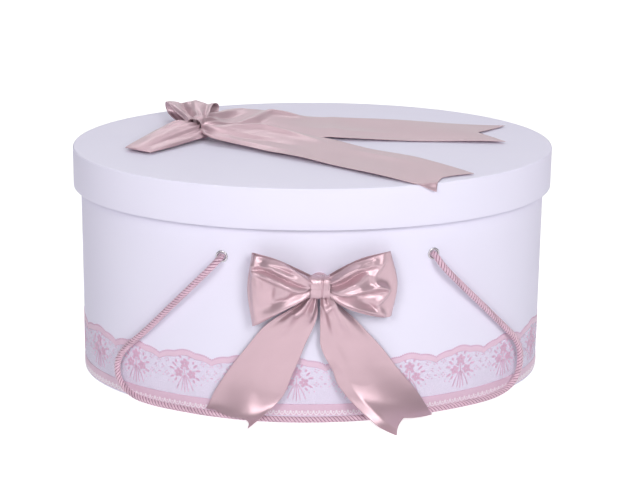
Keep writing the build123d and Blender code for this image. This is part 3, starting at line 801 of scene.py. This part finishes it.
loop_left = ribbon_piece("front_bow_loop_left_satin", clear_of_box(eased(raised(places, -lift)), 1.2),
                         "box", 0.128)
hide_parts("front_bow_loop_left")

# right loop
places, u, v = loop_places(144, 82, [
    ((6, -159, 123), (7, -160, 131), (6, -159, 140)),
    ((16, -162, 117), (17, -165, 132), (15, -162, 146)),
    ((27, -162, 111), (28, -166, 131), (27, -160.5, 153.5)),
    ((44, -157, 104), (46, -160, 129), (44, -157, 158.5)),
    ((57, -152.5, 100.5), (60, -153, 128), (57, -152.5, 161)),
    ((63.5, -149.5, 100), (68.5, -149, 130), (62, -149.5, 161)),
    ((62, -145, 101), (66, -144.5, 130), (60, -145, 159.5)),
    ((38, -145.5, 108), (40, -146, 129), (38, -145.5, 154)),
    ((20, -147, 116), (20, -147, 131), (20, -147, 146)),
    ((7, -149, 123), (7, -149, 131), (7, -149, 139))])
flat = places[..., [0, 2]]
front = np.clip((0.5 - u) / 0.06, 0, 1)
lift = (folds(flat,
        (5.4, 8.0, 1.6, [(9, 135), (20, 141.5), (32, 148), (44, 150.5), (54, 151)]),
        (-4.4, 1.6, 2.2, [(10, 132), (22, 138), (32, 144), (42, 147)]),
        (4.4, 1.8, 4.0, [(10, 129), (22, 133), (34, 139), (42, 146)]),
        (4.6, 2.6, 2.6, [(56, 160), (54, 150), (47, 142), (48, 135), (57, 130), (60, 126), (55, 120),
         (50, 114), (55, 106), (58, 101)]),
        (5.8, 2.0, 2.6, [(60, 127.5), (50, 131), (36, 130.5), (22, 128), (9, 128)]),
        (-4.0, 2.2, 4.0, [(12, 125.5), (26, 124), (40, 122.5), (52, 123)]),
        (5.2, 3.6, 2.0, [(8, 125), (20, 120), (34, 113.5), (48, 107), (58, 102)]),
        (-2.8, 3.0, 3.0, [(34, 119), (46, 113), (52, 109)]),
        (-1.8, 3.0, 4.0, [(48, 157), (42, 152), (30, 152)]),
        (2.4, 2.6, 2.6, [(12, 138), (24, 146), (38, 153), (50, 156)]),
        (2.2, 3.0, 3.0, [(22, 136), (34, 134), (44, 137)]),
        (-2.0, 2.0, 2.0, [(30, 126), (42, 125), (53, 124)]))
        + gathers(flat, (0, 131), 12, 1.4, 1.1, 24)) * front
loop_right = ribbon_piece("front_bow_loop_right_satin", clear_of_box(eased(raised(places, lift)), 1.2),
                          "box", 0.132)
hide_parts("front_bow_loop_right")


def drawn_band(middle, half_deep, half_tall, half_wide, creases, axis, toward):
    """The short band round a bow's middle: a flattened tube about an axis, with creases along its turn."""
    t = np.linspace(0, 2 * math.pi, 97)
    w = np.linspace(-1, 1, 33)
    axis, toward = np.array(axis, float), np.array(toward, float)
    rise = np.cross(toward, axis)
    pinch = 1 + 0.07 * w ** 2
    crease = sum(deep * np.exp(-((w[None] - at - lean * np.sin(t)[:, None]) / wide) ** 2)
                 for at, lean, wide, deep in creases)
    square = (np.abs(np.cos(t)) ** 2.5 + np.abs(np.sin(t)) ** 2.5) ** (-1 / 2.5)
    deep = (np.cos(t) * square)[:, None] * (half_deep * pinch[None] + crease)
    tall = (np.sin(t) * square)[:, None] * (half_tall * pinch[None] + crease)
    return (np.array(middle) + deep[..., None] * toward + tall[..., None] * rise
            + (w * half_wide)[None, :, None] * axis)


wrap_places = drawn_band((0, -157.0, 131.2), 6.8, 9.9, 8.8,
                         [(0.22, 0.08, 0.09, -0.9), (0.36, 0.06, 0.12, 0.7), (-0.45, -0.1, 0.2, 0.4),
                          (0.75, 0.1, 0.1, -0.6), (-0.05, 0.0, 0.22, 0.5)], (1, 0, 0), (0, -1, 0))
front_wrap = ribbon_piece("front_bow_band_satin", wrap_places, "box", 0.052, 0.018)
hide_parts("front_bow_wrap")


def tail_places(rows, columns, ends, stations):
    """A ribbon tail from stations of (edge, middle, edge) down its length.

    The ends say at which station one edge, the notch and the other edge stop.
    """
    lines = crosswise(stations, columns)
    v = np.linspace(0, 1, columns)
    stop = np.interp(v, (0, 0.5, 1), ends)
    places = np.zeros((rows, columns, 3))
    for n in range(columns):
        places[:, n] = through(lines[:, n], rows, 0, stop[n])
    share = np.linspace(0, 1, rows)[:, None] * stop[None] / max(ends)
    return places, share, np.broadcast_to(v[None], share.shape)


# left tail: stations of (left edge, middle, right edge)
places, u, v = tail_places(90, 44, (9, 8.25, 9), [
    ((-7, -153, 124), (-4, -153, 124), (-1, -153, 124)),
    ((-22, -151, 111), (-11, -154, 112), (-1.5, -153, 113)),
    ((-39, -147.5, 99), (-20, -152, 100), (-1.5, -152.5, 103)),
    ((-51, -145, 88), (-27, -149.5, 88), (-4.5, -151.5, 92)),
    ((-63, -141.5, 71), (-37, -147.5, 73), (-12, -151, 75)),
    ((-75, -138, 54), (-46, -146.5, 57), (-18, -151, 59)),
    ((-85, -135, 38), (-54, -146, 40), (-25, -151.3, 42)),
    ((-94, -132.5, 22), (-61, -148, 24), (-32, -152, 25)),
    ((-98, -131.3, 12), (-66, -154, 7.5), (-46, -157, 12)),
    ((-101.5, -130.8, 5), (-74, -163, 1.5), (-64.7, -171, 0.9))])
flat = places[..., [0, 2]]
lift = (2.2 * np.cos(v * 2 * math.pi * 2.4 + 0.6) * np.exp(-((u - 0.16) / 0.14) ** 2)
        + folds(flat,
            (3.0, 3.5, 3.5, [(-9, 123), (-12, 110), (-26, 104), (-20, 112)]),
            (4.4, 1.6, 2.6, [(-4, 122), (-7, 108), (-8, 97)]),
            (3.4, 2.4, 2.4, [(-10, 108), (-17, 105), (-24, 107), (-28, 112)]),
            (-2.6, 2.2, 2.2, [(-12, 118), (-18, 112), (-24, 110)]),
            (1.6, 5.0, 5.0, [(-14, 110), (-32, 98), (-46, 84)]))
        + 1.2 * np.sin(v * math.pi * 1.3 + 0.4) * np.sin(u * math.pi))
tail = clear_of_cord(clear_of_box(raised(places, lift), 1.6), 3.9)
tail[..., 2] = np.maximum(tail[..., 2], 0.45)
tail_left = ribbon_piece("front_bow_tail_left_satin", eased(tail, 1), "box", 0.140)
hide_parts("front_bow_tail_left")

# right tail, with its lower left edge turned back
places, u, v = tail_places(96, 44, (10, 9.15, 10), [
    ((1, -153, 124), (4, -153, 124), (7, -153, 124)),
    ((0.5, -153, 112), (9, -155, 112), (19, -151, 111)),
    ((0.6, -152, 100), (16, -153.5, 99), (32, -149.5, 98)),
    ((0.8, -151.5, 86), (22, -151, 85), (43, -147, 85)),
    ((1.2, -151.5, 74), (28, -149.5, 72), (54, -144.2, 72)),
    ((6, -152, 61), (34, -149, 59), (63, -141.8, 60)),
    ((13, -153.5, 50), (43, -149, 46), (71, -139.5, 48)),
    ((18, -156, 38), (53, -149.5, 32), (81, -137, 35)),
    ((31, -161, 24), (64, -153, 17), (91, -135, 22)),
    ((50, -171, 9), (75, -161, 8), (100, -137.5, 8)),
    ((69, -187, 0.9), (86, -171, 2), (104.5, -144, 2.5))])
flat = places[..., [0, 2]]
lift = (2.0 * np.cos(v * 2 * math.pi * 2.2 + 2.2) * np.exp(-((u - 0.16) / 0.14) ** 2)
        + folds(flat,
            (3.4, 2.4, 4.0, [(8, 122), (14, 108), (21, 94), (26, 84)]),
            (-2.8, 2.4, 3.4, [(3, 118), (6, 100), (10, 80)]),
            (4.6, 2.0, 2.0, [(2, 119), (3, 112), (7, 109), (11, 113), (11, 119)]),
            (1.6, 4.0, 6.0, [(12, 78), (20, 62), (24, 52)]))
        + 1.0 * np.sin(v * math.pi * 1.2) * np.sin(u * math.pi)
        - 4.6 * np.clip(1 - v / 0.14, 0, 1) * np.clip((u - 0.5) / 0.1, 0, 1)
        * np.clip((1.02 - u) / 0.1, 0, 1))
tail = clear_of_cord(clear_of_box(raised(places, lift), 1.6), 3.9)
tail[..., 2] = np.maximum(tail[..., 2], 0.45)
tail_right = ribbon_piece("front_bow_tail_right_satin", eased(tail, 1), "box", 0.148)
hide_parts("front_bow_tail_right")


# ---------------------------------------------------------------- the lid
# An oval board top let into a board rim. The top's paper folds down over the
# rim, the rim's own paper covers the fold and turns in under the lower edge,
# and the inside is lined.
lid_top_cover = oval_shell("lid_top_cover_paper", rings(
    (0.4, 205.0), (0.4, 217.75), (0.5, 218.25), (0.85, 218.75), (1.4, 218.97), (2.2, 219.0), (30.0, 219.0),
    a=lid_long, b=lid_wide), "lid", cover_paper, filled=True)
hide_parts("lid_top_cover")
lid_rim_cover = oval_shell("lid_rim_cover_paper", rings(
    (0.38, 217.8), (0.1, 217.75), (0.0, 217.5), (0.0, 205.0), (0.0, 193.0), (0.0, 181.6), (0.15, 181.15),
    (0.5, 181.0), (3.7, 181.0), (4.05, 181.15), (4.2, 181.5), (4.2, 195.0), (3.9, 195.0), (3.9, 181.5),
    (3.7, 181.3), (0.5, 181.3), (0.38, 181.6), a=lid_long, b=lid_wide), "lid", cover_paper)
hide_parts("lid_rim_cover")
finish_node("lid_rim_lining", lining_paper)
finish_node("lid_top_lining", lining_paper)


# ---------------------------------------------------------------- the lid's bow
# The same ribbon tied on the lid: two small loops lean to the back and to the
# front left, and two long tails lie to the right, one over the lid's edge.
places, u, v = loop_places(80, 48, [
    ((-114, 27, 227), (-109, 26, 232), (-103, 27, 228)),
    ((-121, 40, 231), (-110, 42, 234), (-98, 41, 234)),
    ((-131, 58, 234.5), (-114, 58, 235), (-96, 56, 238)),
    ((-138, 76, 237.5), (-117, 72, 238), (-93, 67, 239.5)),
    ((-140, 84, 236.5), (-118, 79, 238.5), (-89, 74, 237.5)),
    ((-140, 86, 231), (-117, 80, 233), (-88, 75, 232)),
    ((-136, 80, 224.5), (-116, 76, 224), (-91, 70, 225)),
    ((-124, 55, 221.2), (-111, 54, 221.2), (-97, 52, 221.2)),
    ((-114, 31, 223), (-109, 31, 223), (-104, 31, 223))])
flat = places[..., :2]
top = np.clip((0.56 - u) / 0.06, 0, 1)
lift = (folds(flat,
        (2.0, 3.0, 4.0, [(-112, 29), (-122, 48), (-132, 68), (-138, 86)]),
        (-4.6, 3.0, 2.4, [(-109, 31), (-115, 50), (-122, 70), (-125, 88)]),
        (3.0, 2.6, 4.0, [(-107, 30), (-109, 50), (-111, 68), (-111, 86)]),
        (-2.4, 2.4, 2.4, [(-104, 33), (-101, 52), (-99, 70), (-98, 84)]))) * top
lift -= pleats(u, v, 5, 0.5, 2.3, 0.2)
loop_back = ribbon_piece("lid_bow_loop_back_satin", eased(raised(places, -lift)), "lid", 0.130)
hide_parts("lid_bow_loop_back")

places, u, v = loop_places(80, 48, [
    ((-103, 11, 226), (-108, 18, 232), (-115, 23, 229)),
    ((-102, 3.5, 223.8), (-113, 13, 233), (-127, 21, 234.5)),
    ((-117, -10, 222.6), (-129, 2, 231.5), (-142, 11, 231)),
    ((-134, -26, 222.0), (-145, -13, 229), (-157, -4, 227)),
    ((-148, -38, 221.8), (-159, -28, 225.5), (-169, -19, 224.5)),
    ((-151, -40, 221.2), (-166, -34, 222.6), (-175, -26, 222)),
    ((-145, -31, 220.5), (-156, -24, 220.5), (-166, -14, 220.5)),
    ((-122, -5, 220.4), (-132, 4, 220.4), (-145, 14, 220.4)),
    ((-106, 13, 222), (-110, 18, 222.5), (-116, 23, 222))])
flat = places[..., :2]
top = np.clip((0.58 - u) / 0.06, 0, 1)
lift = (folds(flat,
        (1.6, 3.0, 6.0, [(-112, 20), (-126, 16), (-142, 4), (-158, -12)]),
        (1.5, 1.3, 1.5, [(-103.5, 6), (-119, -8.5), (-136, -24), (-149, -36)]),
        (-1.6, 3.0, 3.0, [(-107, 9), (-122, -3), (-140, -18), (-152, -30)]))) * top
lift += pleats(u, v, 5, 1.5, 1.7, 0.14)
loop_front = ribbon_piece("lid_bow_loop_front_satin", eased(raised(places, -lift)), "lid", 0.130)
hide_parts("lid_bow_loop_front")

wrap_places = drawn_band((-109, 24.5, 230.2), 7.0, 6.8, 8.2,
                         [(0.25, 0.1, 0.12, -0.8), (-0.3, -0.1, 0.14, -0.7), (0.0, 0.0, 0.2, 0.6)],
                         (0.35, 0.937, 0), (0, 0, 1))
lid_wrap = ribbon_piece("lid_bow_band_satin", wrap_places, "lid", 0.050, 0.018)
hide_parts("lid_bow_wrap")

# tails: stations of (back edge, middle, front edge); the front one lies over the back one
places, u, v = tail_places(120, 44, (8, 7.5, 8), [
    ((-105, 32, 231), (-104, 27, 232), (-104, 20, 229)),
    ((-96, 51, 232.5), (-93, 36, 231.5), (-92, 22, 226.5)),
    ((-78, 80, 229.5), (-74, 52, 227.5), (-70, 26, 222)),
    ((-46, 86, 227), (-44, 54, 224.5), (-42, 22, 221.2)),
    ((-11, 83, 223), (-10, 48, 221.8), (-10, 13, 220.6)),
    ((40, 78, 221.4), (38, 41, 221), (36, 5, 220.6)),
    ((90, 70, 220.6), (88, 35, 220.6), (84, 1, 220.4)),
    ((136, 62, 220.2), (133, 30, 220.4), (129, -2, 220.2)),
    ((189, 54, 220.2), (186, 24, 220.2), (182, -7, 220.2))])
flat = places[..., :2]
lift = (2.2 * np.cos(v * 2 * math.pi * 2.5 + 0.4) * np.exp(-((u - 0.08) / 0.07) ** 2)
        + folds(flat,
            (2.2, 3.0, 4.0, [(-103, 31), (-95, 50), (-81, 69), (-66, 84)]),
            (4.6, 3.0, 6.0, [(-101, 29), (-86, 32), (-69, 40), (-56, 54), (-46, 71), (-34, 88)]),
            (-2.6, 5.0, 5.0, [(-96, 40), (-82, 54), (-66, 70)]),
            (4.0, 2.6, 6.5, [(-44, 80), (-26, 82), (-8, 80)]),
            (1.6, 9.0, 3.0, [(22, 84), (19, 46), (14, 4)]),
            (1.0, 9.0, 9.0, [(-8, 40), (40, 30), (90, 22)]))
        + 0.7 * (np.sin(flat[..., 0] / 21.0 + flat[..., 1] / 18.0) + 1))
tail = raised(places, -lift)
tail[..., 2] = np.maximum(tail[..., 2], 219.8)
lid_tail_back = ribbon_piece("lid_bow_tail_back_satin", eased(tail), "lid", 0.300)
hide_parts("lid_bow_tail_back")

places, u, v = tail_places(116, 44, (9, 8.42, 9), [
    ((-105, 21, 232), (-105, 16, 231.5), (-105, 10, 227)),
    ((-93, 20, 230.5), (-95, 7, 230), (-98, -4, 225)),
    ((-72, 28, 228.5), (-76, 4, 228.5), (-81, -16, 223.6)),
    ((-42, 34, 227.4), (-50, 1, 226.6), (-59, -30, 223.2)),
    ((-14, 18, 225), (-28, -14, 224.2), (-41, -44, 222.8)),
    ((14, 0, 222.4), (-2, -31, 222.4), (-17, -61, 222.4)),
    ((46, -23, 220.8), (30, -54, 221.4), (14, -84, 221.8)),
    ((80, -47, 220.4), (64, -80, 220.8), (49, -113, 221.2)),
    ((120, -82, 220.1), (102, -111, 220.4), (82, -136.5, 220.0)),
    ((140, -109, 220.0), (116, -130, 219.9), (103, -138.5, 212.5))])
flat = places[..., :2]
lift = (1.4 * np.cos(v * 2 * math.pi * 2.0 + 1.0) * np.exp(-((u - 0.09) / 0.07) ** 2)
        + folds(flat,
            (4.2, 4.0, 7.0, [(-98, 13), (-74, 16), (-44, 22), (-18, 8), (4, -8)]),
            (-1.8, 5.0, 5.0, [(-92, 4), (-68, -6), (-40, -12), (-14, -26)]),
            (1.2, 4.0, 4.0, [(-90, -4), (-70, -16), (-46, -28), (-20, -44)]),
            (1.2, 8.0, 8.0, [(30, -30), (56, -50), (90, -78)]))
        + 0.5 * (np.sin(flat[..., 0] / 17.0 - flat[..., 1] / 23.0) + 1))
tail = raised(places, -lift)
over_edge = (flat[..., 0] / 225.5) ** 2 + (flat[..., 1] / 150.5) ** 2 > 1
tail[..., 2] = np.where(over_edge, tail[..., 2], np.maximum(tail[..., 2], 219.7))
lid_tail_front = ribbon_piece("lid_bow_tail_front_satin", eased(tail), "lid", 0.270)
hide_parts("lid_bow_tail_front")


# ---------------------------------------------------------------- the floor and the light
# A plain white floor, with a softbox on each side of the camera and one above.
# Two wide lights show only as sheen on the satin. The room is dark, with a pale
# back wall, a low pale band and bars of light and shade below the horizon.
floor_look, nodes, shader = new_material("floor_pale")
shader.inputs["Base Color"].default_value = (0.82, 0.82, 0.82, 1)
shader.inputs["Roughness"].default_value = 0.7
shader.inputs["Emission Color"].default_value = (1, 1, 1, 1)
shader.inputs["Emission Strength"].default_value = 0.7
bpy.ops.object.select_all(action="DESELECT")
bpy.ops.mesh.primitive_plane_add(size=30, location=(0, 0, 0))
floor = bpy.context.object
floor.name = "floor"
floor.data.materials.append(floor_look)
floor.visible_diffuse = False


def soft_light(name, place, aim, size, power, tint=(1, 1, 1)):
    bpy.ops.object.light_add(type="AREA", location=place)
    lamp = bpy.context.object
    lamp.name = name
    lamp.data.shape, lamp.data.size, lamp.data.size_y = "RECTANGLE", *size
    lamp.data.energy, lamp.data.color = power, tint
    lamp.rotation_euler = (Vector(aim) - Vector(place)).to_track_quat("-Z", "Y").to_euler()
    return lamp


soft_light("right_softbox", (0.8, -2.1, 1.3), (0, 0, 0.1), (0.8, 1.0), 24.5)
soft_light("left_softbox", (-0.85, -2.1, 1.3), (0, 0, 0.1), (0.8, 1.0), 18.2)
soft_light("top_softbox", (0.1, 0.5, 2.3), (0, 0, 0.2), (1.6, 1.0), 11.6)
for sheen in (soft_light("back_sheen", (-0.3, 1.9, 1.75), (-0.05, 0, 0.22), (1.7, 0.35), 6.5),
              soft_light("front_sheen", (0.2, -2.9, 2.7), (0, 0, 0.1), (4.6, 2.2), 32)):
    sheen.visible_diffuse = False
world = bpy.data.worlds.new("pale_room")
bpy.context.scene.world = world
world.use_nodes = True
room = Shade(world.node_tree)
look = room.node("SeparateXYZ", None, {0: room.node("TexCoord", out=0)})
side, depth, rise = (Shade(room.tree, look.socket.node.outputs[n]) for n in (0, 1, 2))
backdrop = depth.band(0.4, 0.9) * (1 - rise.band(0.35, 0.8))
walls = (backdrop * 0.78).tint((0.10, 0.10, 0.11, 1), (1.0, 1.0, 1.02, 1))
low = (1 - rise.band(0.12, 0.3)) * (1 - depth.band(0.2, 0.5)) * 0.36
above = (rise.band(0.2, 0.9) * 0.3).tint(low.tint(walls, (1.0, 1.0, 1.02, 1)), (0.8, 0.8, 0.84, 1))
bars = room.node("Math", {"operation": "SINE"}, {0: side * 9.0 + rise * 3.0 + 1.9}).band(-0.6, 0.6)
table = bars.tint((0.44, 0.43, 0.46, 1), (1.08, 1.06, 1.13, 1))
below = (rise * -1.0).band(0.0, 0.1)
room.tree.links.new(below.tint(above, table).socket, world.node_tree.nodes["Background"].inputs["Color"])
bpy.context.scene.view_settings.view_transform = "Standard"
